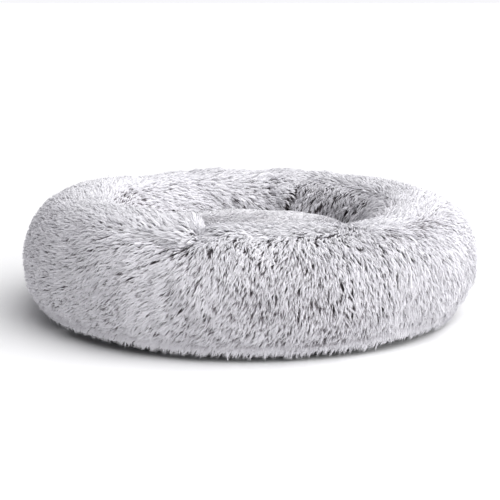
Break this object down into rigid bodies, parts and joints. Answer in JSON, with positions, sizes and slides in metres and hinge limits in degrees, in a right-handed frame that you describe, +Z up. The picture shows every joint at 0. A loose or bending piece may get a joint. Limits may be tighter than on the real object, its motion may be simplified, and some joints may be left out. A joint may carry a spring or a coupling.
{
  "type": "pet bed",
  "caption": "Round plush pet bed: a stuffed long-pile fur rim around a padded sleeping cushion, in a zip-off cover with a non-slip base.",
  "frame": {"origin": "centre of the base, on the floor", "axes": "+Z up; -Y is the front of the bed, where the front cross seam is; the zip runs round the back"},
  "size_m": [0.8, 0.8, 0.212],
  "materials": {
    "long_pile_fur": "long shaggy faux fur, white tips over dark grey-brown roots",
    "fur_backing": "knitted polyester backing",
    "short_pile_plush": "short soft plush, nearly white",
    "seam_binding": "woven binding tape",
    "lining_cloth": "plain woven polyester",
    "liner_nonwoven": "white non-woven cloth",
    "fibre_filling": "hollow polyester fibre",
    "base_oxford": "coarse plain-woven polyester, coated inside",
    "grip_pvc": "printed soft PVC",
    "zip_tape": "herringbone tape",
    "zip_coil": "nylon coil",
    "zip_stops": "pressed",
    "zip_slider_metal": "nickel-plated zinc, satin",
    "label_satin": "woven satin, blank"
  },
  "bodies": {
    "bed": {"rim_cover_left": "long_pile_fur", "rim_cover_right": "long_pile_fur", "cover_cross_seams": "fur_backing", "sleeping_panel": "short_pile_plush", "inner_seam_tape": "seam_binding", "channel_wall": "lining_cloth", "hem_seam_tape": "seam_binding", "base_seam_tape": "seam_binding", "base_panel": "base_oxford", "grip_dots": "grip_pvc", "rim_liner": "liner_nonwoven", "rim_filling": "fibre_filling", "cushion_liner": "liner_nonwoven", "cushion_filling": "fibre_filling", "zip_tape_cover_side": "zip_tape", "zip_tape_base_side": "zip_tape", "zip_coil_cover_side": "zip_coil", "zip_coil_base_side": "zip_coil", "zip_top_stops": "zip_stops", "zip_bottom_stop": "zip_stops", "zip_end_tabs": "base_oxford", "care_label": "label_satin"},
    "slider": {"zip_slider": "zip_slider_metal"},
    "pull": {"zip_pull": "zip_slider_metal"}
  },
  "joints": [
    {"name": "zip_travel", "type": "hinge", "parent": "bed", "child": "slider", "pos_m": [0, 0, 0.01382], "axis": [0, 0, 1], "range_deg": [0, 147.9]},
    {"name": "pull_swing", "type": "hinge", "parent": "slider", "child": "pull", "pos_m": [0.34341, 0.09879, 0.00885], "axis": [-0.8527, -0.2453, -0.4611], "range_deg": [0, 180]}
  ]
}
